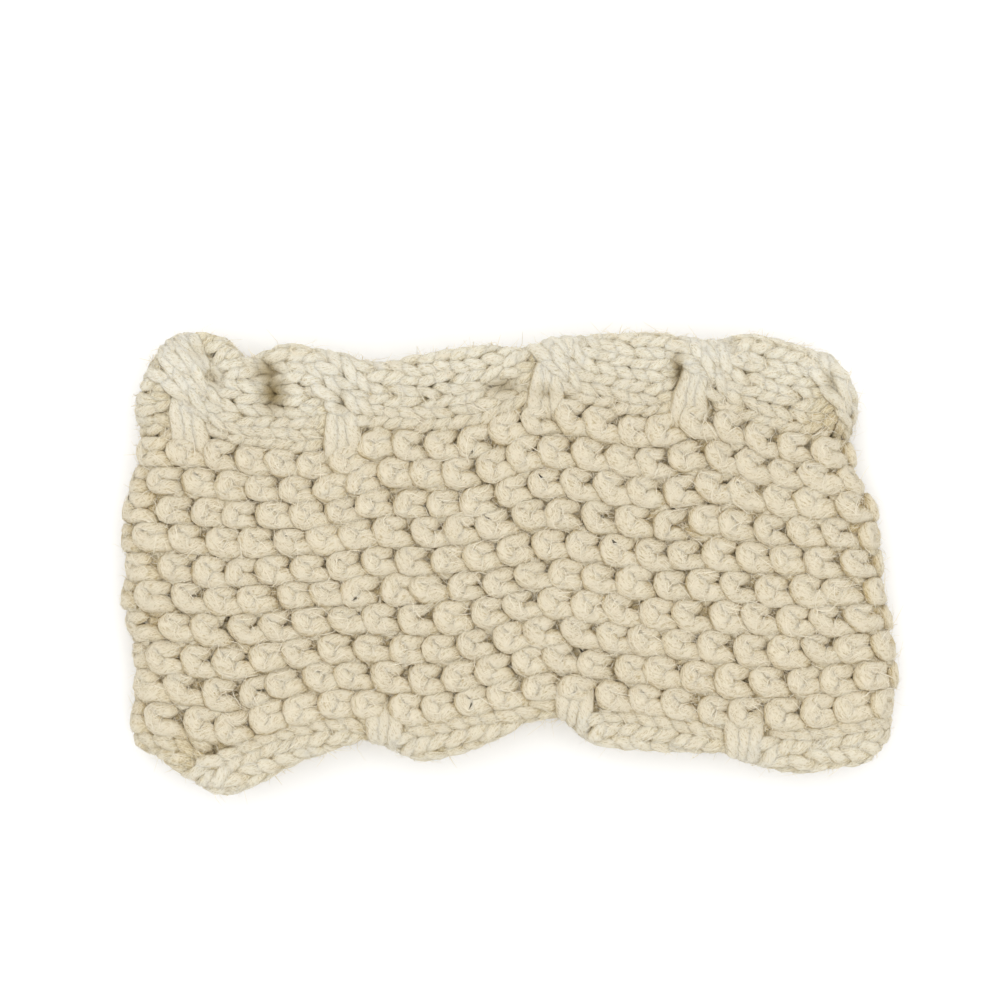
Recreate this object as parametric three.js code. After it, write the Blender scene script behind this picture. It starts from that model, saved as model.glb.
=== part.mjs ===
import * as THREE from "three";

// A knitted ear warmer headband: a closed band of moss stitch between two cabled borders.
// It lies flat, its front layer over its back layer, with an open slot between them for the head.
// Millimetres. X runs along the band, Y across it and Z up, and the band rests on Z = 0.

// Sizes of the whole band
const FLAT_WIDTH = 241; // between the two folds
const HEIGHT = 26; // through both layers and the slot between them, before it is laid down
const FLATTENED = 1.2; // what its own weight flattens of the underside
const EDGE_WAVE = 10; // depth of the waves in the two lines where a border meets the field
const SIDE_SLANT = 14; // how far the folds are drawn in by the tighter upper border
const BACK_INSET = 2; // how far the back layer's edges stay behind the front layer's

// The moss-stitch field
const FIELD_DEPTH = 89; // between the two borders
const FIELD_ROWS = 10; // rows of stitches across it
const FIELD_WALL = 8.8; // thickness at a row of stitches
const FURROW = 1.2; // depth of the furrows between the rows

// The cabled borders
const UPPER_DEPTH = 28; // at a full lobe, from the field to the free edge
const LOWER_DEPTH = 14;
const BORDER_WALL = 10.4; // thickness of the rolled cable
const PINCH = 0.3; // share of the thickness lost where the strands cross
const CROSSING_WIDTH = 15; // length of such a pinch along the border
const CROSSING_SLANT = 18; // how far it runs along the border on its way across
const SEAM_GAP = 0.3; // clearance between the field and a border

// How finely the surfaces are cut
const LAYER_STEPS = 25; // along one layer
const FOLD_STEPS = 7; // around one fold
const BORDER_SIDES = 12; // around a border's section
const BORDER_SQUARENESS = 0.62; // 1 is an ellipse, less is squarer

// The folds, from the lower border up. up: share of FIELD_DEPTH. left, right: shares of SIDE_SLANT.
const SIDES = [
  { up: 0.0, left: 0.22, right: 0.07 },
  { up: 0.2, left: 0.3, right: 0.0 },
  { up: 0.3, left: 0.22, right: 0.1 },
  { up: 0.42, left: 0.02, right: 0.24 },
  { up: 0.55, left: 0.1, right: 0.35 },
  { up: 0.65, left: 0.0, right: 0.35 },
  { up: 0.75, left: 0.08, right: 0.5 },
  { up: 0.86, left: 0.3, right: 0.83 },
  { up: 1.0, left: 0.35, right: 1.0 },
];

// The upper border, a row for each lobe or pinch of its edge. across: share of the way from the
// left fold to the right. rise: share of EDGE_WAVE. depth: share of UPPER_DEPTH.
const UPPER_EDGE = [
  { across: 0.0, rise: -0.25, depth: 0.55 },
  { across: 0.03, rise: -0.25, depth: 0.98 },
  { across: 0.09, rise: -0.3, depth: 1.17 },
  { across: 0.155, rise: -0.55, depth: 1.05 },
  { across: 0.21, rise: -0.68, depth: 1.16 },
  { across: 0.28, rise: -0.6, depth: 1.04 },
  { across: 0.34, rise: 0.0, depth: 0.7 },
  { across: 0.4, rise: -0.06, depth: 0.83 },
  { across: 0.48, rise: 0.15, depth: 0.85 },
  { across: 0.535, rise: 0.7, depth: 0.66 },
  { across: 0.585, rise: 0.9, depth: 0.65 },
  { across: 0.715, rise: 0.4, depth: 0.89 },
  { across: 0.78, rise: 0.8, depth: 0.74 },
  { across: 0.84, rise: 0.3, depth: 0.86 },
  { across: 0.9, rise: -0.2, depth: 1.0 },
  { across: 0.965, rise: -0.2, depth: 0.93 },
  { across: 1.0, rise: -0.2, depth: 0.55 },
];

// The lower border in the same way. rise: share of EDGE_WAVE. depth: share of LOWER_DEPTH.
const LOWER_EDGE = [
  { across: 0.0, rise: -0.5, depth: 0.35 },
  { across: 0.03, rise: -0.5, depth: 0.6 },
  { across: 0.09, rise: -0.7, depth: 1.0 },
  { across: 0.13, rise: -0.85, depth: 1.15 },
  { across: 0.21, rise: -0.25, depth: 1.08 },
  { across: 0.27, rise: 0.0, depth: 1.0 },
  { across: 0.32, rise: -0.05, depth: 0.8 },
  { across: 0.385, rise: -0.2, depth: 0.95 },
  { across: 0.46, rise: 0.15, depth: 0.9 },
  { across: 0.555, rise: 0.6, depth: 0.68 },
  { across: 0.61, rise: 0.35, depth: 1.0 },
  { across: 0.735, rise: -0.1, depth: 0.92 },
  { across: 0.79, rise: -0.35, depth: 0.84 },
  { across: 0.86, rise: -0.35, depth: 1.0 },
  { across: 0.93, rise: -0.15, depth: 1.05 },
  { across: 0.975, rise: 0.0, depth: 1.05 },
  { across: 1.0, rise: 0.0, depth: 0.6 },
];

// Where each border's two strands cross, as shares of the way across. The hidden back layer's
// crossings are evenly spaced.
const UPPER_CROSSINGS = { front: [0.11, 0.29, 0.535, 0.77, 0.965], back: [0.15, 0.38, 0.61, 0.84] };
const LOWER_CROSSINGS = { front: [0.1, 0.34, 0.58, 0.8], back: [0.15, 0.38, 0.61, 0.84] };

// A smooth curve through one column of a table, with the key column as its parameter.
function follow(table, key, column, at) {
  const last = table.length - 1;
  let i = table.findIndex((row) => row[key] > at) - 1;
  if (i < 0) i = at <= table[0][key] ? 0 : last - 1;
  const slope = (j) => {
    const a = table[Math.max(j - 1, 0)];
    const b = table[Math.min(j + 1, last)];
    return (b[column] - a[column]) / (b[key] - a[key]);
  };
  const [low, high] = [table[i], table[i + 1]];
  const span = high[key] - low[key];
  const t = THREE.MathUtils.clamp((at - low[key]) / span, 0, 1);
  const [t2, t3] = [t * t, t * t * t];
  return (
    low[column] * (2 * t3 - 3 * t2 + 1) +
    high[column] * (3 * t2 - 2 * t3) +
    slope(i) * span * (t3 - 2 * t2 + t) +
    slope(i + 1) * span * (t3 - t2)
  );
}

// Stations once around the loop: along the front layer from left to right, around the right fold,
// back along the back layer and around the left fold. across places the station between the
// folds' centres, and turn is the direction that faces out of the loop there.
function stationsAround() {
  const stations = [];
  for (let i = 0; i < LAYER_STEPS; i++) stations.push({ across: i / LAYER_STEPS, turn: Math.PI / 2 });
  for (let i = 0; i < FOLD_STEPS; i++) stations.push({ across: 1, turn: Math.PI * (0.5 - i / FOLD_STEPS) });
  for (let i = 0; i < LAYER_STEPS; i++) stations.push({ across: 1 - i / LAYER_STEPS, turn: -Math.PI / 2 });
  for (let i = 0; i < FOLD_STEPS; i++) stations.push({ across: 0, turn: -Math.PI * (0.5 + i / FOLD_STEPS) });
  return stations;
}

// The loop's outer surface at one height: its two ends, and where the folds turn.
function loopAt(up) {
  const left = -FLAT_WIDTH / 2 + SIDE_SLANT * follow(SIDES, "up", "left", up);
  const right = FLAT_WIDTH / 2 - SIDE_SLANT * follow(SIDES, "up", "right", up);
  return { left, right, foldLeft: left + HEIGHT / 2, foldRight: right - HEIGHT / 2 };
}

// How far along the outer surface a station is, from the left end to the right.
function shareOf(loop, station) {
  const centre = THREE.MathUtils.lerp(loop.foldLeft, loop.foldRight, station.across);
  return (centre + (HEIGHT / 2) * Math.cos(station.turn) - loop.left) / (loop.right - loop.left);
}

// A point of the loop, inset from its outer surface. What would sink into the floor is flattened.
function loopPoint(loop, station, inset, y) {
  const centre = THREE.MathUtils.lerp(loop.foldLeft, loop.foldRight, station.across);
  const radius = HEIGHT / 2 - inset;
  const z = HEIGHT / 2 - FLATTENED + radius * Math.sin(station.turn);
  return new THREE.Vector3(centre + radius * Math.cos(station.turn), y, Math.max(z, 0));
}

const backness = (station) => (1 - Math.sin(station.turn)) / 2;
const upperLine = (share) => FIELD_DEPTH / 2 + EDGE_WAVE * follow(UPPER_EDGE, "across", "rise", share);
const lowerLine = (share) => -FIELD_DEPTH / 2 + EDGE_WAVE * follow(LOWER_EDGE, "across", "rise", share);

// A closed ring from one section of points for each station.
function ringGeometry(sections) {
  const count = sections[0].length;
  const index = [];
  sections.forEach((_, i) => {
    const here = i * count;
    const next = ((i + 1) % sections.length) * count;
    for (let j = 0; j < count; j++) {
      const k = (j + 1) % count;
      index.push(here + j, next + j, next + k, here + j, next + k, here + k);
    }
  });
  const geometry = new THREE.BufferGeometry().setFromPoints(sections.flat());
  geometry.setIndex(index);
  geometry.computeVertexNormals();
  return geometry;
}

// The field: furrows and rows of stitches on its outer face, and a plain inner face.
function fieldGeometry() {
  const outer = Array.from({ length: 2 * FIELD_ROWS + 1 }, (_, j) => ({
    up: j / (2 * FIELD_ROWS),
    inset: FURROW * (1 - (j % 2)),
  }));
  const inner = Array.from({ length: FIELD_ROWS + 1 }, (_, j) => ({
    up: 1 - j / FIELD_ROWS,
    inset: FIELD_WALL,
  }));
  const sections = stationsAround().map((station) =>
    [...outer, ...inner].map(({ up, inset }) => {
      const loop = loopAt(up);
      const share = shareOf(loop, station);
      const low = lowerLine(share) + SEAM_GAP / 2;
      const high = upperLine(share) - SEAM_GAP / 2;
      return loopPoint(loop, station, inset, THREE.MathUtils.lerp(low, high, up));
    }),
  );
  return ringGeometry(sections);
}

// How much of its thickness a border keeps: less where its strands cross, along a slanting crease.
function kept(crossings, station, share, across, loop) {
  const layer = backness(station) > 0.5 ? crossings.back : crossings.front;
  const width = loop.right - loop.left;
  const lean = (0.5 - across) * CROSSING_SLANT;
  const pinch = Math.max(
    ...layer.map((at) => Math.exp(-(((share - at) * width - lean) ** 2) / (CROSSING_WIDTH / 2) ** 2)),
  );
  return 1 - PINCH * pinch;
}

// A border: a soft roll that goes once around the loop, on the side of the field that side names.
function borderGeometry({ up, side, table, depth, crossings, line }) {
  const loop = loopAt(up);
  const round = (value) => Math.sign(value) * Math.abs(value) ** BORDER_SQUARENESS;
  const largest = round(Math.cos(Math.PI / BORDER_SIDES));
  const profile = Array.from({ length: BORDER_SIDES }, (_, j) => {
    const angle = (2 * Math.PI * (j + 0.5)) / BORDER_SIDES;
    return {
      across: 0.5 - (0.5 * round(Math.cos(angle))) / largest,
      thick: 0.5 + (0.5 * round(Math.sin(angle))) / largest,
    };
  });
  if (side < 0) profile.reverse();
  const sections = stationsAround().map((station) => {
    const share = shareOf(loop, station);
    const start = line(share) + (side * SEAM_GAP) / 2;
    const reach = depth * follow(table, "across", "depth", share) - BACK_INSET * backness(station);
    return profile.map(({ across, thick }) => {
      const lean = side > 0 ? across : 1 - across;
      const height = thick > 0.5 ? thick * kept(crossings, station, share, lean, loop) : thick;
      return loopPoint(loop, station, BORDER_WALL * (1 - height), start + side * reach * across);
    });
  });
  return ringGeometry(sections);
}

const wool = (color) => new THREE.MeshStandardMaterial({ color, roughness: 0.95, metalness: 0 });

function knitted(name, geometry, color) {
  const mesh = new THREE.Mesh(geometry, wool(color));
  mesh.name = name;
  return mesh;
}

const headband = new THREE.Group();
headband.add(knitted("moss_field", fieldGeometry(), 0xd3c7ab));
headband.add(
  knitted(
    "upper_cable_border",
    borderGeometry({
      up: 1,
      side: 1,
      table: UPPER_EDGE,
      depth: UPPER_DEPTH,
      crossings: UPPER_CROSSINGS,
      line: upperLine,
    }),
    0xdcd3bb,
  ),
);
headband.add(
  knitted(
    "lower_cable_border",
    borderGeometry({
      up: 0,
      side: -1,
      table: LOWER_EDGE,
      depth: LOWER_DEPTH,
      crossings: LOWER_CROSSINGS,
      line: lowerLine,
    }),
    0xd1c8b0,
  ),
);

// The origin is the middle of the foot, under the centre of the band's outline.
const bounds = new THREE.Box3().setFromObject(headband);
const middle = bounds.getCenter(new THREE.Vector3());
headband.position.set(-middle.x, -middle.y, -bounds.min.z);

export default headband;
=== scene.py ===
"""A knitted ear warmer headband that lies flat, drawn yarn by yarn.

The band is a closed loop of 90 courses. The yarn of each course runs across the band, through the
lower cable border, the moss-stitch field and the upper cable border, and each stitch is a loop
drawn through the stitch of the course before it. A place in the fabric is given by

    q    share of the way around the loop, from the right fold along the front layer to the left
    v    position across the band: 0 to FIELD_ROWS in the field, below 0 in the lower border and
         above FIELD_ROWS in the upper one
    lift distance out from the middle of the fabric

and place() turns it into a point in space. Sizes are in millimetres until they become a mesh.
"""

import math

import bpy
import numpy as np
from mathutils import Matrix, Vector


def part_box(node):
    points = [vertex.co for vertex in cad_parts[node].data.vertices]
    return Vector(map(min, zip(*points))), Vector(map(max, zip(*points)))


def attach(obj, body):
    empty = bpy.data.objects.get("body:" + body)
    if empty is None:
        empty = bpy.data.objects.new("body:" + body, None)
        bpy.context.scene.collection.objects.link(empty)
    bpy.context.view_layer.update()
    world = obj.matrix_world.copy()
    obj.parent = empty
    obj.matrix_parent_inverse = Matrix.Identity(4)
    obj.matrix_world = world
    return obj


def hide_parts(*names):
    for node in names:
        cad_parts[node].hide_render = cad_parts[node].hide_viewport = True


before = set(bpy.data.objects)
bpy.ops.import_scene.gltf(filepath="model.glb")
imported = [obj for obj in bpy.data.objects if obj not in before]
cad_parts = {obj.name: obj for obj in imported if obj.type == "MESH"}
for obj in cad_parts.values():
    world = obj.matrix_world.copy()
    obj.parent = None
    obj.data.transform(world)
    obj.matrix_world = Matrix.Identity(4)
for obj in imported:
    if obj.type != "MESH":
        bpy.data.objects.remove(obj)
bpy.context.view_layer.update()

MM = 0.001
RNG = np.random.default_rng(7)

# Sizes of the band, as in the CAD
FLAT_WIDTH = 241.0
HEIGHT = 26.0
FLATTENED = 1.2
EDGE_WAVE = 10.0
SIDE_SLANT = 14.0
BACK_INSET = 2.0
FIELD_DEPTH = 89.0
UPPER_DEPTH = 28.0
LOWER_DEPTH = 14.0

SIDES = np.array(
    [
        # up, left, right
        (0.0, 0.22, 0.07),
        (0.2, 0.3, 0.0),
        (0.3, 0.22, 0.1),
        (0.42, 0.02, 0.24),
        (0.55, 0.1, 0.35),
        (0.65, 0.0, 0.35),
        (0.75, 0.08, 0.5),
        (0.86, 0.3, 0.83),
        (1.0, 0.35, 1.0),
        (1.15, 0.2, 0.78),
        (1.6, 0.25, 0.5),
    ]
)
UPPER_EDGE = np.array(
    [
        # across, rise, depth
        (0.0, -0.25, 0.55),
        (0.03, -0.25, 0.98),
        (0.09, -0.3, 1.22),
        (0.125, -0.42, 1.2),
        (0.155, -0.55, 1.02),
        (0.21, -0.68, 1.22),
        (0.28, -0.6, 1.08),
        (0.34, 0.0, 0.77),
        (0.4, -0.06, 0.895),
        (0.48, 0.15, 0.91),
        (0.535, 0.7, 0.69),
        (0.585, 0.9, 0.72),
        (0.715, 0.4, 0.955),
        (0.78, 0.8, 0.72),
        (0.84, 0.35, 0.96),
        (0.9, -0.05, 0.98),
        (0.965, -0.3, 0.86),
        (1.0, -0.4, 0.6),
    ]
)
LOWER_EDGE = np.array(
    [
        # across, rise, depth
        (0.0, -0.5, 0.55),
        (0.03, -0.5, 0.6),
        (0.09, -0.7, 1.0),
        (0.13, -0.85, 1.15),
        (0.21, -0.25, 0.96),
        (0.27, 0.0, 0.74),
        (0.32, -0.05, 0.55),
        (0.385, -0.2, 0.88),
        (0.46, 0.15, 0.78),
        (0.555, 0.6, 0.36),
        (0.61, 0.35, 0.9),
        (0.735, -0.1, 0.77),
        (0.79, -0.35, 0.68),
        (0.86, -0.35, 1.04),
        (0.93, -0.15, 1.05),
        (0.975, 0.0, 1.05),
        (1.0, 0.0, 0.75),
    ]
)

# Hollows in the front layer, where the borders fold and cross
HOLLOWS = np.array(
    [
        # across, up, wide, tall, deep, shade
        (-75.0, 59.5, 3.6, 3.4, 3.0, 0.8),
        (-73.0, 52.0, 3.8, 5.0, 5.0, 1.1),
        (-91.0, 57.0, 2.5, 3.0, 2.0, 0.5),
        (-96.0, 65.0, 2.5, 2.5, 2.0, 0.4),
        (-52.0, 50.0, 2.0, 6.0, 2.0, 0.3),
        (-2.0, 54.5, 5.0, 2.5, 3.0, 0.6),
        (11.0, 52.5, 3.0, 2.0, 2.0, 0.5),
        (52.0, 60.0, 1.6, 5.0, 4.0, 0.9),
        (99.0, 56.0, 2.0, 3.4, 2.5, 0.6),
    ]
)

# The knitting
COURSES = 90
FIELD_ROWS = 10
UPPER_WALES = 6
LOWER_WALES = 4
SLOTS = LOWER_WALES + FIELD_ROWS + UPPER_WALES  # stitches of a course
YARN = 2.7  # radius of the yarn
SQUASH = 0.26  # how much flatter than wide the yarn lies in the fabric
WEAVE = 1.65  # how far a loop's parts lie in front of or behind the middle of the fabric
INSET = 4.2  # depth of the middle of the fabric under the band's outer surface
UPPER_PITCH = 6.9  # width of a wale in the borders
LOWER_PITCH = 7.8
EDGE_CALM = 0.55  # how much less the loops stand out along a border's edge
FOLD_CALM = 0.35  # how much less the loops stand out along the folds
FOLD_FILL = 1.0  # how much further out the fabric lies there
EDGE_YARN = 2.7  # how far the yarn stands out from the middle of the fabric at that edge
LOWER_YARN = 1.15  # how much looser than in the upper border the yarn of the lower one lies
ROLL = 2.4  # radius at which a border's edge rolls under
LEAST_FLAT = 2.0  # least depth of a border before it rolls under
UNDER_ROOM = 0.7  # how far the part rolled under reaches back, as a share of the flat part
HIDDEN_REACH = 6.0  # how far round the roll the fabric is hidden
HIDDEN_CALM = 0.7  # how much less the hidden loops stand out
CROSSING = 2.4  # courses over which two strands of a cable change places, either way
FAN_THICKNESS = 1.2  # of the strands drawn out between the field and a crossing
FAN_LIFT = 1.6  # how far they come forward
PULL = 1.5  # wales out of its place at which a stitch beside a crossing is drawn out in full
SPREAD = 0.2  # how much further apart the wales of a strand lie where it crosses
DRAWN_IN = 0.05  # wales by which a crossing is drawn in towards the field
CABLE_LIFT = 1.6  # how far the front strand rises over the other where they cross

START = -0.05  # where the first course lies, as a share of the way around the loop

# Where the strands of each border cross, as shares of the way around the loop
UPPER_CROSSINGS = (-0.008, 0.0855, 0.185, 0.326, 0.432, 0.54, 0.63, 0.72, 0.81, 0.9)
LOWER_CROSSINGS = (0.071, 0.181, 0.304, 0.424, 0.54, 0.65, 0.76, 0.87)
UNDER_EARLY = 0.9  # courses by which the strand behind is ahead of the one in front

# The long stitches of a crossing: courses beside it, and reach in wales
DRAWN_STITCHES = ((-0.75, 1.7), (0.1, 2.1), (0.85, 1.9))
DRAWN_YARN = (
    # along, thick, lift
    (0.0, 0.7, -0.5),
    (0.25, 1.0, 1.6),
    (0.7, 0.95, 2.2),
    (1.0, 0.7, 0.4),
)
DRAWN_ROOT = 0.75  # rows of the field that they reach back over
DRAWN_GATHER = 0.55  # how much nearer each other they end than they begin
DRAWN_LEAN = 0.1  # courses by which they lean, as a standard deviation

# Half a stitch, from the middle of the sinker to the middle of the head. across: share of a wale
# from the stitch's middle. along: share of the loop's length. own and following: how far it lies
# in front, as shares of WEAVE, for a knit stitch with a knit stitch after it. beside: the same for
# the stitch next to it. thick: share of the yarn's radius.
MOSS_STITCH = np.array(
    [
        # across, along, own, following, beside, thick
        (-0.50, 0.00, -0.5, 0.0, -0.5, 0.86),
        (-0.45, 0.06, -0.6, 0.0, 0.0, 0.94),
        (-0.33, 0.26, 0.3, 0.0, 0.0, 1.10),
        (-0.255, 0.50, 1.0, 0.0, 0.0, 1.20),
        (-0.275, 0.78, 1.05, -0.1, 0.0, 1.20),
        (0.00, 0.88, 0.45, -1.0, 0.0, 1.26),
    ]
)
PLAIN_STITCH = np.array(
    [
        # across, along, own, following, beside, thick
        (-0.50, 0.06, -0.3, 0.0, -0.3, 0.70),
        (-0.30, 0.06, -0.5, 0.0, 0.0, 0.68),
        (-0.12, 0.22, -0.1, 0.0, 0.0, 0.70),
        (-0.19, 0.50, 0.7, 0.0, 0.0, 0.78),
        (-0.36, 0.84, 0.3, 0.2, 0.0, 0.74),
        (0.00, 1.00, 0.0, -0.7, 0.0, 0.68),
    ]
)
MOSS_OVERLAP = 0.43  # how far a loop reaches past its course at either end, in courses
PLAIN_OVERLAP = 0.42
UNEVEN = {
    # standard deviations over the stitches
    "along": 0.1,  # courses
    "across": 0.045,  # rows
    "spread": 0.12,  # share of a loop's width
    "yarn": 0.06,  # share of its radius
    "lean": 0.18,
}
LOWER_LEG = 0.25  # how much fatter the lower leg of a stitch of the field is than the upper one
LEAN = 0.25  # how much further back the lower leg of a stitch of the field reaches

# The yarn's surface
SIDES_OF_YARN = 8
# Samples of the yarn between one control point of a stitch and the next; the head bends most.
SAMPLES = ((1, 2, 2, 2, 3, 3, 2, 2, 2, 1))
PER_STITCH = sum(SAMPLES)
DRAWN_SAMPLES = 4
PRESSED = (0.52, 0.7)  # how far from the middle of its row a stitch is pressed flat, in rows
PRESSED_CORNER = 6  # how sharply the yarn turns where it is pressed flat
LUMPS = 0.045  # how uneven the yarn's surface is, as a share of its radius
RESTING = 1.5  # height over the floor in which the yarn's underside is flattened

# Loose fibres
FIBRES = 1.0  # share of them that is made
FIELD_FIBRES = 20000  # in each of the field's two pieces
UPPER_FIBRES = 18000
LOWER_FIBRES = 9000
FIBRE_STEPS = 3
FIBRE_LENGTH = (2.5, 7.0)
FIBRE_WIDTH = (0.13, 0.28)
FIBRE_SLANT = 0.55  # angle to the yarn, in radians
FIBRE_STRAY = 0.6  # standard deviation of that angle
FIBRE_BEND = 0.5  # how much a fibre bends, as a standard deviation
FIBRE_RISE = 1.0  # how far the free end stands off, on average
FIBRE_ROOT = 0.02  # how far the other end stands off
FIBRE_FLOOR = 0.05  # least height over the floor

# The wool's tones
FIELD_WOOL = (0.795, 0.715, 0.55)
BORDER_WOOL = (0.92, 0.865, 0.725)
# The loose fibres are the yarn's own wool, painted a little paler: a painted highlight on them
FIELD_FIBRE = (0.86, 0.79, 0.63)
BORDER_FIBRE = (0.93, 0.875, 0.75)
FIBRE_SHADOW = (0.68, 0.61, 0.46)  # tone between the fibres
GAPS = (0.645, 0.45)  # height of the fibres where that tone begins, and where it is full
# Painted shade: more of the shade between the fibres where the yarn turns away and lies deep, where
# shade falls
SIDE_FIBRE_SHADE = 0.11  # how much more of it there is on the sides of the yarn and deep in the fabric
# Painted shade: the yarn's sides and its parts deep in the fabric are darkened and browned towards
# this tone
PAINTED_DEEP_SHADE = (0.98, 0.93, 0.8)  # tone of the yarn deep in the fabric
HOLLOW_SHADOW = (0.5, 0.43, 0.28)  # tone where a hollow is deepest
SIDE_SHADE = (0.95, 1.3)  # shade of the yarn's sides, and how much less it is on its front
DEEP_SHADE = (0.6, 3.0)  # shade in the middle of the fabric, and the lift over which it fades
PALE_ZONE = (1.0, 4.0)  # rows inside the field where the borders' tone begins, and its width
TWIST = 0.25  # turn of the fibres around the yarn, in radians a millimetre

# The studio
KEY_LIGHT = ((-0.28, 0.45, 1.35), 1.3, 6.8)  # place, size and power
FILL_LIGHT = ((0.4, -0.35, 1.4), 1.4, 5.6)
SKY_LIGHT = 0.9
FLOOR_TONE = 0.97
CAMERA_HEIGHT = 1.6
# The band in the photo, in pixels of a square 1000 wide
PHOTO_WIDTH = 1000
BAND_WIDTH = 778.0
BAND_MIDDLE = (509.5, 562.5)


def follow(table, column, at):
    """A smooth curve through one column of a table, with its first column as the parameter."""
    keys, values = table[:, 0], table[:, column]
    slopes = np.empty_like(values)
    slopes[1:-1] = (values[2:] - values[:-2]) / (keys[2:] - keys[:-2])
    slopes[0] = (values[1] - values[0]) / (keys[1] - keys[0])
    slopes[-1] = (values[-1] - values[-2]) / (keys[-1] - keys[-2])
    i = np.clip(np.searchsorted(keys, at, side="right") - 1, 0, len(keys) - 2)
    span = keys[i + 1] - keys[i]
    t = np.clip((at - keys[i]) / span, 0, 1)
    return (
        values[i] * (2 * t**3 - 3 * t**2 + 1)
        + values[i + 1] * (3 * t**2 - 2 * t**3)
        + slopes[i] * span * (t**3 - 2 * t**2 + t)
        + slopes[i + 1] * span * (t**3 - t**2)
    )


def smooth(t):
    """A smooth step from 0 to 1."""
    t = np.clip(t, 0, 1)
    return t * t * (3 - 2 * t)


# The loop's shape
RADIUS = HEIGHT / 2
LAYER = FLAT_WIDTH - HEIGHT - SIDE_SLANT / 3
FRONT = LAYER / (2 * LAYER + 2 * math.pi * (RADIUS - INSET))
FOLD = 0.5 - FRONT
WITH_FOLDS = 1.12  # length of the whole loop, as a share of its two layers'
COURSE_PITCH = 2 * LAYER * WITH_FOLDS / COURSES


def upper_line(share):
    return FIELD_DEPTH / 2 + EDGE_WAVE * follow(UPPER_EDGE, 1, share)


def lower_line(share):
    return -FIELD_DEPTH / 2 + EDGE_WAVE * follow(LOWER_EDGE, 1, share)


SHARES = np.linspace(0, 1, 101)
TOP = (upper_line(SHARES) + UPPER_DEPTH * follow(UPPER_EDGE, 2, SHARES)).max()
BOTTOM = (lower_line(SHARES) - LOWER_DEPTH * follow(LOWER_EDGE, 2, SHARES)).min()
MIDDLE_Y = (TOP + BOTTOM) / 2


def fading(t):
    """How much of the wave of one edge is left nearer the other one."""
    return (t + t**3) / 2


def station(q):
    """Where a share of the way around is between the folds, and the way out of the loop there."""
    q = np.mod(q, 1)
    across = np.select(
        [q < FRONT, q < 0.5, q < 0.5 + FRONT], [1 - q / FRONT, 0 * q, (q - 0.5) / FRONT], 1.0
    )
    turn = np.select(
        [q < FRONT, q < 0.5, q < 0.5 + FRONT],
        [math.pi / 2 + 0 * q, math.pi / 2 + math.pi * (q - FRONT) / FOLD, 1.5 * math.pi + 0 * q],
        1.5 * math.pi + math.pi * (q - 0.5 - FRONT) / FOLD,
    )
    return across, turn


def rolled(reach, depth):
    """A border's section: how far out and how deep a reach from the seam lies, the way out there,
    and how far it is hidden under the roll."""
    flat = np.maximum(depth - ROLL - EDGE_YARN, LEAST_FLAT)
    angle = np.clip((reach - flat) / ROLL, 0, math.pi)
    under = np.maximum(reach - flat - math.pi * ROLL, 0)
    room = UNDER_ROOM * flat
    back = room * (1 - np.exp(-under / room))
    out = np.minimum(reach, flat) + ROLL * np.sin(angle) - back
    hidden = smooth(under / HIDDEN_REACH)
    return out, ROLL * (1 - np.cos(angle)), np.sin(angle), np.cos(angle), hidden


def place(q, v, lift):
    """The point in space of a place in the fabric."""
    across, turn = station(q)
    up = np.clip(v / FIELD_ROWS, 0, 1)
    left = -FLAT_WIDTH / 2 + SIDE_SLANT * follow(SIDES, 1, v / FIELD_ROWS)
    right = FLAT_WIDTH / 2 - SIDE_SLANT * follow(SIDES, 2, v / FIELD_ROWS)
    centre = left + RADIUS + (right - left - 2 * RADIUS) * across
    share = (centre + RADIUS * np.cos(turn) - left) / (right - left)
    backness = (1 - np.sin(turn)) / 2
    y = FIELD_DEPTH * (up - 0.5) + EDGE_WAVE * (
        follow(UPPER_EDGE, 1, share) * fading(up) + follow(LOWER_EDGE, 1, share) * fading(1 - up)
    )
    lift = lift * (1 - FOLD_CALM * np.cos(turn) ** 2)
    fold = FOLD_FILL * np.cos(turn) ** 2
    radial = RADIUS - INSET + lift + fold
    for beyond, side, pitch, table, full in (
        (v - FIELD_ROWS, 1, UPPER_PITCH, UPPER_EDGE, UPPER_DEPTH),
        (-v, -1, LOWER_PITCH, LOWER_EDGE, LOWER_DEPTH),
    ):
        depth = full * follow(table, 2, share) - BACK_INSET * backness
        out, deep, out_y, out_r, hidden = rolled(np.maximum(beyond, 0) * pitch, depth)
        lift_here = lift * (1 - HIDDEN_CALM * hidden) * (1 - EDGE_CALM * out_y * (beyond > 0))
        y = np.where(beyond > 0, y + side * (out + lift_here * out_y), y)
        radial = np.where(beyond > 0, RADIUS - INSET - deep + lift_here * out_r + fold, radial)
    x = centre + radial * np.cos(turn)
    z = RADIUS - FLATTENED + radial * np.sin(turn)
    deep, _ = hollow(x, y - MIDDLE_Y)
    z = z - deep * np.clip(np.sin(turn), 0, 1)
    return np.stack([x, y - MIDDLE_Y, z], -1)


def hollow(x, y):
    """How deep the hollows are at a place, and how shaded."""
    deep, shade = 0 * x, 0 * x
    for across, up, wide, tall, depth, dark in HOLLOWS:
        near = np.exp(-(((x - across) / wide) ** 2) - ((y - up) / tall) ** 2)
        deep, shade = deep + depth * near, shade + dark * near
    return deep, shade


def strand_place(crossings, course):
    """How far out the first strand of a cable lies, from 0 to 1, how far out the second one does,
    and how far the first one is in front."""
    first, second, front = 0 * course, 0 * course, 0 * course
    for number, at in enumerate(crossings):
        away = course - (at - START) * COURSES
        over = smooth(0.5 + away / (2 * CROSSING))
        under = smooth(0.5 + (away + UNDER_EARLY) / (2 * CROSSING))
        sign = 1 if number % 2 == 0 else -1
        first = first + sign * (over if sign > 0 else under)
        second = second + sign * (under if sign > 0 else over)
        front = front + sign * 4 * over * (1 - over)
    return first, 1 - second, front


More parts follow.
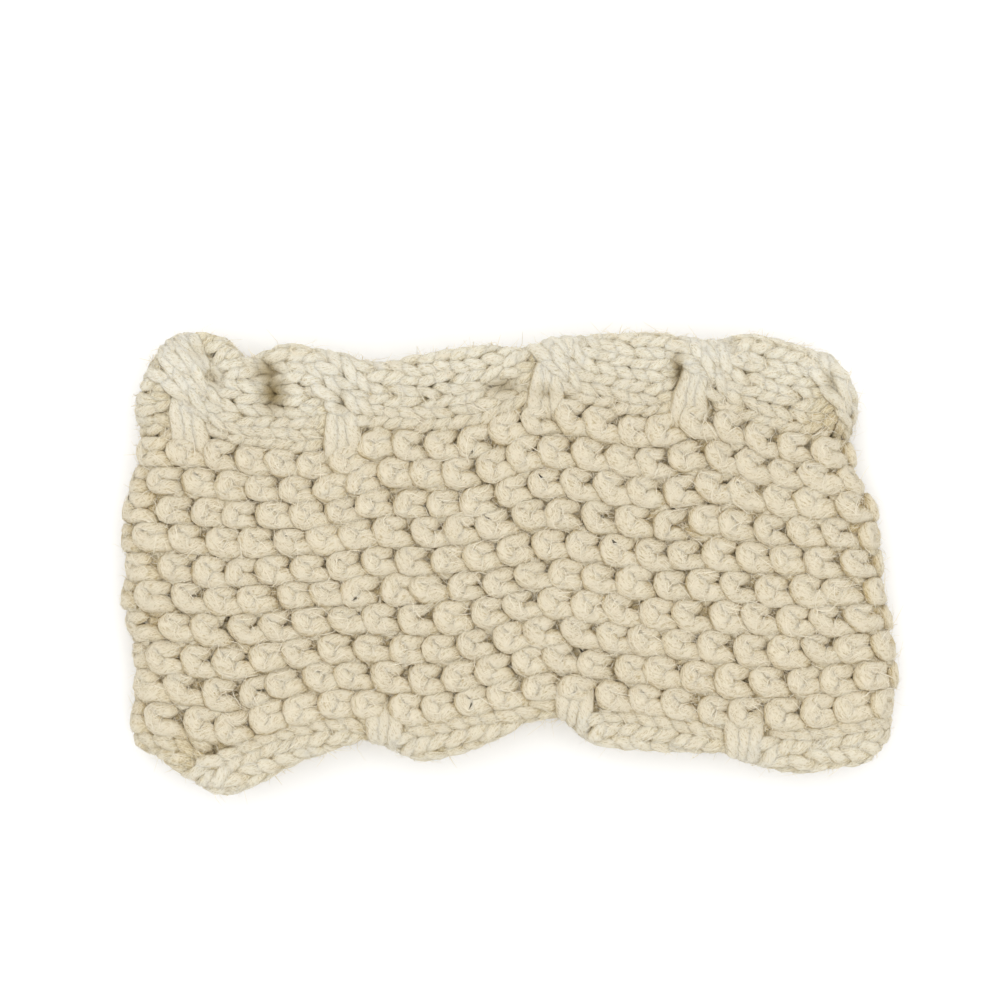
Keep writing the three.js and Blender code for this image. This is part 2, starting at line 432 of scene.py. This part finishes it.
def wale_place(slot, course_at, slots_course):
    """The position across the band and the lift of the wale that is in a slot at a course, at
    another place along the loop."""
    v = slot - LOWER_WALES + 0.5 + 0 * course_at
    lift = 0 * course_at
    for wales, crossings, start, sense in (
        (UPPER_WALES, UPPER_CROSSINGS, LOWER_WALES + FIELD_ROWS, 1),
        (LOWER_WALES, LOWER_CROSSINGS, LOWER_WALES - 1, -1),
    ):
        half = wales // 2
        position = (slot - start) * sense
        inside = (position >= 0) & (position < wales)
        now, _, _ = strand_place(crossings, slots_course)
        one, other, front = strand_place(crossings, course_at)
        # The strand that lay inside at the start of the loop is in the slot where this is true.
        first = np.where(now < 0.5, position < half, position >= half)
        place_in_strand = np.mod(position, half)
        out = np.where(first, one, other)
        crossing = 4 * out * (1 - out)
        base = 0.5 + half * out + place_in_strand * (1 + SPREAD * crossing) - DRAWN_IN * crossing
        v_border = np.where(sense > 0, FIELD_ROWS + base, -base)
        v = np.where(inside, v_border, v)
        lift = np.where(inside, CABLE_LIFT * np.where(first, front, -front), lift)
    return v, lift


def field_slot(slot):
    """Whether a slot is one of the field's rows."""
    return (slot >= LOWER_WALES) & (slot < LOWER_WALES + FIELD_ROWS)


def knit_or_purl(course, slot):
    """1 for a knit stitch, -1 for a purl stitch."""
    return np.where(field_slot(slot) & ((course + slot) % 2 == 1), -1.0, 1.0)


def both_halves(half):
    """A whole stitch: half of one and its mirror image."""
    return np.concatenate([half, half[-2::-1] * (-1, 1, 1, 1, 1, 1)])


def stitch_controls():
    """The yarn's control points: courses x points x (q, v, lift, thickness)."""
    course, slot = np.meshgrid(np.arange(COURSES), np.arange(SLOTS), indexing="ij")
    kind = knit_or_purl(course, slot)
    following = knit_or_purl(course + 1, slot)
    beside_low = knit_or_purl(course, np.maximum(slot - 1, 0))
    beside_high = knit_or_purl(course, np.minimum(slot + 1, SLOTS - 1))
    shift_along = RNG.normal(0, UNEVEN["along"], course.shape)
    shift_across = RNG.normal(0, UNEVEN["across"], course.shape)
    spread = 1 + RNG.normal(0, UNEVEN["spread"], course.shape)
    fat = 1 + RNG.normal(0, UNEVEN["yarn"], course.shape)
    in_field = field_slot(slot)
    lean = np.where(in_field, LEAN, 0) + RNG.normal(0, UNEVEN["lean"], course.shape)
    overlap = np.where(in_field, MOSS_OVERLAP, PLAIN_OVERLAP)
    innermost = (slot == LOWER_WALES - 1) | (slot == LOWER_WALES + FIELD_ROWS)
    moss_stitch, plain_stitch = both_halves(MOSS_STITCH), both_halves(PLAIN_STITCH)
    last = len(moss_stitch) - 1
    points = []
    for number in range(last + 1):
        across, along, own, after, beside, thick = (
            np.where(in_field, moss, plain)
            for moss, plain in zip(moss_stitch[number], plain_stitch[number])
        )
        neighbour = beside_low if number == 0 else beside_high
        along = along + lean * across
        at = course + shift_along - overlap + along * (1 + 2 * overlap)
        whole_course = course.astype(float)
        v, lift = wale_place(slot, at, whole_course)
        ahead, _ = wale_place(slot, at + 0.5, whole_course)
        behind, _ = wale_place(slot, at - 0.5, whole_course)
        slope = np.arctan((ahead - behind) * UPPER_PITCH / COURSE_PITCH)
        pulled = smooth(np.abs(v - (slot - LOWER_WALES + 0.5)) / PULL)
        # The sinkers, half a wale from the middle, stay where the next stitch's begin.
        offset = across * np.where(np.abs(across) < 0.5, spread, 1)
        v = v + shift_across + offset * np.cos(slope)
        at = at - offset * np.sin(slope) * UPPER_PITCH / COURSE_PITCH
        if number in (0, 1, last - 1, last):
            thick = np.where(innermost, thick + (FAN_THICKNESS - thick) * pulled, thick)
            lift = np.where(innermost, lift + FAN_LIFT * pulled, lift)
        lift = lift + WEAVE * (own * kind + after * following + beside * neighbour)
        thick = thick * np.where(in_field, 1 - LOWER_LEG * across, 1) * fat
        thick = np.where(slot < LOWER_WALES, LOWER_YARN * thick, thick)
        points.append(np.stack([START + at / COURSES, v, lift, thick], -1))
    return np.stack(points, 2)


def course_lines():
    """Joins each course's stitches at the sinkers between them."""
    stitches = stitch_controls()
    joined = (stitches[:, :-1, -1] + stitches[:, 1:, 0]) / 2
    stitches[:, 1:, 0] = joined
    ends = stitches[:, -1:, -1:]
    lines = stitches[:, :, :-1].reshape(COURSES, -1, 4)
    return np.concatenate([lines, ends.reshape(COURSES, 1, 4)], 1)


def catmull_rom(padded, span, t):
    """Points on a smooth curve through control points that have one more at either end."""
    p0, p1, p2, p3 = (padded[:, span + shift] for shift in range(4))
    return 0.5 * (
        2 * p1
        + (p2 - p0) * t
        + (2 * p0 - 5 * p1 + 4 * p2 - p3) * t**2
        + (3 * p1 - p0 - 3 * p2 + p3) * t**3
    )


def spline(points):
    """A Catmull-Rom curve through the points along the second axis."""
    spans = [(number, step / steps) for number, steps in enumerate(SAMPLES) for step in range(steps)]
    span, t = np.array(spans).T
    span = (np.arange(SLOTS)[:, None] * len(SAMPLES) + span).reshape(-1).astype(int)
    t = np.tile(t, SLOTS)[None, :, None]
    padded = np.concatenate([2 * points[:, :1] - points[:, 1:2], points, points[:, -1:]], 1)
    return np.concatenate([catmull_rom(padded, span, t), points[:, -1:]], 1)


def pressed_rows():
    """For every sample of a course: the middle of its row of the field, and how much the yarn is
    pressed flat against the next rows there."""
    spans = [number + step / steps for number, steps in enumerate(SAMPLES) for step in range(steps)]
    at = np.tile(spans, SLOTS)
    slot = np.repeat(np.arange(SLOTS), PER_STITCH)
    share = np.where(field_slot(slot), smooth(np.minimum(at, len(SAMPLES) - at) - 1), 0)
    return np.append(slot - LOWER_WALES + 0.5, 0), np.append(share, 0)


def tubes(line, rows=None):
    """Strands of yarn as rings of points: positions, places within the yarn, how far those face
    out of the fabric, and frames. With rows, the yarn is pressed flat between them."""
    centres = place(line[..., 0], line[..., 1], line[..., 2])
    outward = place(line[..., 0], line[..., 1], line[..., 2] + 0.5) - centres
    outward /= np.linalg.norm(outward, axis=-1, keepdims=True)
    tangents = np.gradient(centres, axis=1)
    tangents /= np.linalg.norm(tangents, axis=-1, keepdims=True)
    normals = np.empty_like(centres)
    normal = outward[:, 0]
    for i in range(centres.shape[1]):
        normal = normal - tangents[:, i] * np.sum(normal * tangents[:, i], -1, keepdims=True)
        normal /= np.linalg.norm(normal, axis=-1, keepdims=True)
        normals[:, i] = normal
    sideways = np.cross(tangents, normals)
    steps = np.linalg.norm(np.diff(centres, axis=1), axis=-1)
    length = np.concatenate([np.zeros((len(line), 1)), np.cumsum(steps, 1)], 1)
    angles = 2 * math.pi * np.arange(SIDES_OF_YARN) / SIDES_OF_YARN
    radius = (YARN * line[..., 3])[..., None, None]
    lumps = 1 + RNG.normal(0, LUMPS, line.shape[:2] + (SIDES_OF_YARN, 1))
    offset = radius * lumps * (
        normals[:, :, None] * np.cos(angles)[:, None] + sideways[:, :, None] * np.sin(angles)[:, None]
    )
    if rows is not None:
        middle, share = rows
        aside = (place(line[..., 0], line[..., 1] + 0.1, line[..., 2]) - centres) / 0.1
        width = np.linalg.norm(aside, axis=-1, keepdims=True)
        aside = (aside / width)[:, :, None]
        side = np.sum(offset * aside, -1) + ((line[..., 1] - middle) * width[..., 0])[..., None]
        reach = np.repeat(RNG.uniform(*PRESSED, (len(line), SLOTS)), PER_STITCH, 1)
        limit = width * np.append(reach, reach[:, -1:], 1)[..., None]
        held = side / (1 + np.abs(side / limit) ** PRESSED_CORNER) ** (1 / PRESSED_CORNER)
        offset = offset + ((held - side) * share[None, :, None])[..., None] * aside
    squash = np.sum(offset * outward[:, :, None], -1, keepdims=True) * outward[:, :, None]
    rings = centres[:, :, None] + offset - SQUASH * squash
    height = rings[..., 2]
    resting = RESTING * np.exp((height - RESTING) / RESTING)
    rings[..., 2] = np.where(height < RESTING, resting, height)
    inside = np.stack(
        [
            np.broadcast_to(np.cos(angles), rings.shape[:3]),
            np.broadcast_to(np.sin(angles), rings.shape[:3]),
            np.broadcast_to(length[..., None], rings.shape[:3]),
        ],
        -1,
    )
    facing = np.sum(offset * outward[:, :, None], -1) / np.linalg.norm(offset, axis=-1)
    return rings, inside, facing, (centres, normals, sideways, outward, radius[..., 0, 0], length)


def fuzz(name, frames, slots, count, material, node):
    """Fibres that stand off the yarn of some slots: thin ribbons that wind around it."""
    centres, normals, sideways, outward, radius, length = frames
    course = RNG.integers(0, COURSES, count)
    first, end = slots[0] * PER_STITCH, slots[1] * PER_STITCH
    start = RNG.uniform(first, end - 1, count)
    turns = RNG.uniform(0, 2 * math.pi, (2, count))
    long = RNG.uniform(*FIBRE_LENGTH, count)
    slant = FIBRE_SLANT + RNG.normal(0, FIBRE_STRAY, count)
    rise = FIBRE_RISE * RNG.exponential(1.0, count)
    bend = RNG.normal(0, FIBRE_BEND, count)
    wound = RNG.uniform(0, 1, count)
    wide = RNG.uniform(*FIBRE_WIDTH, count) / 2
    base = start.astype(int)
    # Of two places around the yarn the one that faces out of the fabric more is taken.
    out_here = outward[course, base]
    normal_out = np.sum(normals[course, base] * out_here, -1)
    sideways_out = np.sum(sideways[course, base] * out_here, -1)
    facing = np.cos(turns) * normal_out + np.sin(turns) * sideways_out
    turn = np.where(facing[0] > facing[1], *turns)
    pace = length[course, base + 1] - length[course, base]
    points, out = [], []
    for step in range(FIBRE_STEPS + 1):
        t = step / FIBRE_STEPS
        at = np.clip(start + t * long * np.cos(slant) / pace, first, end - 0.01)
        low = at.astype(int)
        part = (at - low)[:, None]
        around = (t * np.sin(slant) + t * t * bend) * long
        angle = turn + wound * around / radius[course, low]

        def along(values):
            return values[course, low] * (1 - part) + values[course, low + 1] * part

        away = along(normals) * np.cos(angle)[:, None] + along(sideways) * np.sin(angle)[:, None]
        aside = along(sideways) * np.cos(angle)[:, None] - along(normals) * np.sin(angle)[:, None]
        middle = along(centres)
        flat = along(outward)
        reach = (along(radius[..., None])[:, 0] + FIBRE_ROOT + rise * t)[:, None]
        offset = reach * away + ((1 - wound) * around)[:, None] * aside
        offset -= SQUASH * np.sum(offset * flat, -1, keepdims=True) * flat
        points.append(middle + offset)
        out.append(away)
    points, out = np.stack(points, 1), np.stack(out, 1)
    tangent = np.gradient(points, axis=1)
    side = np.cross(tangent, out)
    side /= np.linalg.norm(side, axis=-1, keepdims=True) + 1e-9
    taper = np.array([1.0 - 0.75 * (step / FIBRE_STEPS) ** 2 for step in range(FIBRE_STEPS + 1)])
    side *= wide[:, None, None] * taper[None, :, None]
    edges = np.stack([points - side, points + side], 2)
    edges[..., 2] = np.maximum(edges[..., 2], FIBRE_FLOOR)
    index = np.arange(count * (FIBRE_STEPS + 1) * 2).reshape(count, FIBRE_STEPS + 1, 2)
    quads = np.stack([index[:, :-1, 0], index[:, :-1, 1], index[:, 1:, 1], index[:, 1:, 0]], -1)
    mesh = bpy.data.meshes.new(name)
    mesh.from_pydata((edges.reshape(-1, 3) * MM).tolist(), [], quads.reshape(-1, 4).tolist())
    mesh.shade_smooth()
    set_values(mesh, "shade", shade_at(edges.reshape(-1, 3)))
    mesh.materials.append(material)
    return dress(bpy.data.objects.new(name, mesh), node)


def shade_at(points):
    """How shaded the hollows make points of the front layer."""
    return hollow(points[:, 0], points[:, 1])[1] * (points[:, 2] > RADIUS)


def set_values(mesh, key, values):
    attribute = mesh.attributes.new(key, "FLOAT", "POINT")
    attribute.data.foreach_set("value", values.astype(np.float32))


def dress(obj, node):
    """Puts an object in the scene in place of one of the solids."""
    bpy.context.scene.collection.objects.link(obj)
    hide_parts(node)
    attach(obj, "root")
    return obj


def piece(name, strands, material, node):
    """One object from groups of strands, each with its line, rings, places within the yarn and
    how far those face out of the fabric."""
    vertices, faces, within, lifts, across, turned = [], [], [], [], [], []
    total = 0
    for line, ring, inside, facing in strands:
        lines, count, sides = ring.shape[:3]
        index = total + np.arange(lines * count * sides).reshape(lines, count, sides)
        total += lines * count * sides
        here, ahead = index[:, :-1], index[:, 1:]
        quads = np.stack([here, np.roll(here, -1, 2), np.roll(ahead, -1, 2), ahead], -1)
        faces += quads.reshape(-1, 4).tolist()
        faces += [row.tolist() for row in index[:, 0, ::-1]]
        faces += [row.tolist() for row in index[:, -1]]
        vertices.append(ring.reshape(-1, 3))
        within.append(inside.reshape(-1, 3))
        lifts.append(np.repeat(line[..., 2].reshape(-1), sides))
        across.append(np.repeat(line[..., 1].reshape(-1), sides))
        turned.append(facing.reshape(-1))
    vertices, within, lifts, across, turned = (
        np.concatenate(values) for values in (vertices, within, lifts, across, turned)
    )
    mesh = bpy.data.meshes.new(name)
    mesh.from_pydata((vertices * MM).tolist(), [], faces)
    mesh.shade_smooth()
    attribute = mesh.attributes.new("yarn", "FLOAT_VECTOR", "POINT")
    attribute.data.foreach_set("vector", within.reshape(-1).astype(np.float32))
    from_middle = np.abs(across - FIELD_ROWS / 2) - FIELD_ROWS / 2
    pale = smooth((from_middle + PALE_ZONE[0]) / PALE_ZONE[1])
    # The "deep" values carry painted shade: they darken the yarn's sides and its parts deep in the
    # fabric, half as much on the sides in the borders
    side = smooth(SIDE_SHADE[0] - SIDE_SHADE[1] * turned)
    behind = smooth(DEEP_SHADE[0] - lifts / DEEP_SHADE[1])
    set_values(mesh, "deep", np.maximum(behind, side * (1 - 0.5 * pale)))
    set_values(mesh, "pale", pale)
    set_values(mesh, "shade", shade_at(vertices))
    mesh.materials.append(material)
    return dress(bpy.data.objects.new(name, mesh), node)


def drawn_stitches(crossings, edge, sense):
    """Long stitches drawn out of the field at the crossings of a border, as lines of yarn."""
    lines = []
    for at in crossings:
        for aside, reach in DRAWN_STITCHES:
            lean = RNG.normal(0, DRAWN_LEAN)
            points = []
            for along, thick, lift in DRAWN_YARN:
                course = (aside * (1.0 - DRAWN_GATHER * along) + lean * along) / COURSES
                v = edge + sense * (-DRAWN_ROOT + (reach + DRAWN_ROOT) * along)
                points.append((at + course, v, lift, thick))
            lines.append(points)
    points = np.array(lines)
    spans = len(DRAWN_YARN) - 1
    t = np.linspace(0, spans, spans * DRAWN_SAMPLES + 1)
    span = np.minimum(t.astype(int), spans - 1)
    before = 2 * points[:, :1] - points[:, 1:2]
    after = 2 * points[:, -1:] - points[:, -2:-1]
    padded = np.concatenate([before, points, after], 1)
    return catmull_rom(padded, span, (t - span)[None, :, None])


class Nodes:
    """Adds nodes to a material and joins them."""

    def __init__(self, material):
        material.use_nodes = True
        self.tree = material.node_tree
        self.shader = self.tree.nodes["Principled BSDF"]

    def join(self, output, socket):
        self.tree.links.new(output, socket)

    def attribute(self, key, output="Fac"):
        """The values of a mesh at its points."""
        node = self.tree.nodes.new("ShaderNodeAttribute")
        node.attribute_name = key
        return node.outputs[output]

    def noise(self, vector, scale, detail, roughness=0.5):
        node = self.tree.nodes.new("ShaderNodeTexNoise")
        node.inputs["Scale"].default_value = scale
        node.inputs["Detail"].default_value = detail
        node.inputs["Roughness"].default_value = roughness
        self.join(vector, node.inputs["Vector"])
        return node.outputs["Fac"]

    def scaled_sum(self, value, factor, other=None):
        """The value times the factor, plus the other one."""
        node = self.tree.nodes.new("ShaderNodeMath")
        node.operation = "MULTIPLY" if other is None else "MULTIPLY_ADD"
        self.join(value, node.inputs[0])
        node.inputs[1].default_value = factor
        if other is not None:
            self.join(other, node.inputs[2])
        return node.outputs[0]

    def mixed(self, blend, factor, first, second):
        """A mix of two colours, each a colour or another node's output."""
        mix = self.tree.nodes.new("ShaderNodeMix")
        mix.data_type = "RGBA"
        mix.blend_type = blend
        self.join(factor, mix.inputs["Factor"])
        for socket, value in ((mix.inputs["A"], first), (mix.inputs["B"], second)):
            if isinstance(value, tuple):
                socket.default_value = (*value, 1)
            else:
                self.join(value, socket)
        return mix.outputs["Result"]


def wool(name, colour, edge_colour):
    """Cream wool yarn: fibres twisted along the strand, and soft shade from place to place."""
    material = bpy.data.materials.new(name)
    nodes = Nodes(material)
    within = nodes.attribute("yarn", "Vector")
    parts = nodes.tree.nodes.new("ShaderNodeSeparateXYZ")
    nodes.join(within, parts.inputs[0])
    twist = nodes.tree.nodes.new("ShaderNodeVectorRotate")
    twist.rotation_type = "Z_AXIS"
    nodes.join(within, twist.inputs["Vector"])
    nodes.join(nodes.scaled_sum(parts.outputs["Z"], TWIST), twist.inputs["Angle"])
    stretch = nodes.tree.nodes.new("ShaderNodeMapping")
    stretch.inputs["Scale"].default_value = (1.0, 1.0, 0.18)
    nodes.join(twist.outputs[0], stretch.inputs["Vector"])
    in_space = nodes.tree.nodes.new("ShaderNodeTexCoord").outputs["Object"]
    fibres = nodes.noise(stretch.outputs[0], 5.0, 6.0, 0.65)
    clumps = nodes.noise(stretch.outputs[0], 1.4, 3.0)
    specks = nodes.noise(in_space, 2200.0, 2.0)

    bump = nodes.tree.nodes.new("ShaderNodeBump")
    bump.inputs["Strength"].default_value = 1.0
    bump.inputs["Distance"].default_value = 1.0 * MM
    nodes.join(nodes.scaled_sum(clumps, 0.5, fibres), bump.inputs["Height"])

    # Painted shade: the "deep" values darken and brown the yarn's sides and its deep parts, and add
    # more shade between the fibres there
    deep = nodes.attribute("deep")
    mottled = nodes.scaled_sum(specks, 0.3, fibres)
    gaps = nodes.tree.nodes.new("ShaderNodeMapRange")
    gaps.inputs["From Min"].default_value = GAPS[0]
    gaps.inputs["From Max"].default_value = GAPS[1]
    nodes.join(nodes.scaled_sum(deep, -SIDE_FIBRE_SHADE, mottled), gaps.inputs["Value"])
    base = nodes.mixed("MIX", nodes.attribute("pale"), colour, edge_colour)
    with_deep_shade = nodes.mixed("MULTIPLY", deep, base, PAINTED_DEEP_SHADE)
    between = nodes.mixed("MULTIPLY", gaps.outputs["Result"], with_deep_shade, FIBRE_SHADOW)
    shaded = nodes.mixed("MULTIPLY", nodes.attribute("shade"), between, HOLLOW_SHADOW)

    shader = nodes.shader
    nodes.join(bump.outputs["Normal"], shader.inputs["Normal"])
    nodes.join(shaded, shader.inputs["Base Color"])
    shader.inputs["Subsurface Weight"].default_value = 0.25
    shader.inputs["Subsurface Scale"].default_value = 1.5 * MM
    shader.inputs["Subsurface Radius"].default_value = (1.0, 0.9, 0.75)
    shader.inputs["Roughness"].default_value = 0.9
    shader.inputs["Specular IOR Level"].default_value = 0.15
    shader.inputs["Sheen Weight"].default_value = 0.05
    shader.inputs["Sheen Tint"].default_value = (1.0, 0.93, 0.78, 1)
    shader.inputs["Sheen Roughness"].default_value = 0.5
    return material


def area_light(name, location, size, power):
    """A soft light that faces the middle of the band."""
    light = bpy.data.lights.new(name, "AREA")
    light.size = size
    light.energy = power
    obj = bpy.data.objects.new(name, light)
    obj.location = location
    direction = -obj.location
    obj.rotation_euler = direction.to_track_quat("-Z", "Y").to_euler()
    bpy.context.scene.collection.objects.link(obj)


def pale_floor():
    bpy.ops.mesh.primitive_plane_add(size=6)
    floor = bpy.context.object
    floor.name = "floor"
    paint = bpy.data.materials.new("floor_paint")
    paint.use_nodes = True
    shader = paint.node_tree.nodes["Principled BSDF"]
    shader.inputs["Base Color"].default_value = (FLOOR_TONE, FLOOR_TONE, FLOOR_TONE, 1)
    shader.inputs["Roughness"].default_value = 1.0
    floor.data.materials.append(paint)


def sky():
    world = bpy.data.worlds.new("studio")
    bpy.context.scene.world = world
    world.use_nodes = True
    background = world.node_tree.nodes["Background"]
    background.inputs["Color"].default_value = (1, 1, 1, 1)
    background.inputs["Strength"].default_value = SKY_LIGHT


def view_from_above():
    """The photo's camera, which looks straight down."""
    camera = bpy.data.cameras.new("camera")
    view = bpy.data.objects.new("camera", camera)
    bpy.context.scene.collection.objects.link(view)
    bpy.context.scene.camera = view
    low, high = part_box("moss_field")
    per_pixel = (high[0] - low[0]) / BAND_WIDTH
    centre = PHOTO_WIDTH / 2
    view.location = (
        (centre - BAND_MIDDLE[0]) * per_pixel,
        (BAND_MIDDLE[1] - centre) * per_pixel,
        CAMERA_HEIGHT,
    )
    camera.sensor_width = 36
    # The scale holds at the height of most of the band's outline.
    camera.lens = 36 * (CAMERA_HEIGHT - 0.8 * HEIGHT * MM) / (PHOTO_WIDTH * per_pixel)
    bpy.context.scene.view_settings.view_transform = "Standard"


def studio():
    """A pale floor, soft light from above and the photo's view straight down."""
    pale_floor()
    area_light("key_light", *KEY_LIGHT)
    area_light("fill_light", *FILL_LIGHT)
    sky()
    view_from_above()


line = spline(course_lines())
rings, inside, facing, frames = tubes(line, pressed_rows())
LOWER_BORDER = (0, LOWER_WALES)
FIELD = (LOWER_WALES, LOWER_WALES + FIELD_ROWS)
UPPER_BORDER = (LOWER_WALES + FIELD_ROWS, SLOTS)
LOOP = (0, COURSES)
FRONT_LAYER = (0, COURSES // 2)
BACK_LAYER = (COURSES // 2, COURSES)


def part_of_loop(courses, slots):
    """The strands of some courses and slots, as piece() takes them."""
    where = (slice(*courses), slice(slots[0] * PER_STITCH, slots[1] * PER_STITCH + 1))
    return line[where], rings[where], inside[where], facing[where]


def drawn(crossings, edge, sense):
    """The long stitches at some crossings, as piece() takes them."""
    lines = drawn_stitches(crossings, edge, sense)
    return lines, *tubes(lines)[:3]


def moss_field(cream):
    piece("moss_stitches_front", [part_of_loop(FRONT_LAYER, FIELD)], cream, "moss_field")
    piece("moss_stitches_back", [part_of_loop(BACK_LAYER, FIELD)], cream, "moss_field")


def upper_cable_border(cream):
    strands = [part_of_loop(LOOP, UPPER_BORDER), drawn(UPPER_CROSSINGS[1:], FIELD_ROWS, 1)]
    piece("upper_cables", strands, cream, "upper_cable_border")


def lower_cable_border(cream):
    # The crossing near the left fold has no drawn stitches.
    crossings = LOWER_CROSSINGS[:3] + LOWER_CROSSINGS[4:]
    strands = [part_of_loop(LOOP, LOWER_BORDER), drawn(crossings, 0, -1)]
    piece("lower_cables", strands, cream, "lower_cable_border")


def loose_fibres(fibre):
    for name, slots, count, node in (
        ("moss_fuzz_a", FIELD, FIELD_FIBRES, "moss_field"),
        ("moss_fuzz_b", FIELD, FIELD_FIBRES, "moss_field"),
        ("upper_fuzz", UPPER_BORDER, UPPER_FIBRES, "upper_cable_border"),
        ("lower_fuzz", LOWER_BORDER, LOWER_FIBRES, "lower_cable_border"),
    ):
        fuzz(name, frames, slots, int(count * FIBRES), fibre, node)


cream = wool("cream_wool", FIELD_WOOL, BORDER_WOOL)
moss_field(cream)
upper_cable_border(cream)
lower_cable_border(cream)
loose_fibres(wool("fibre_wool", FIELD_FIBRE, BORDER_FIBRE))
studio()
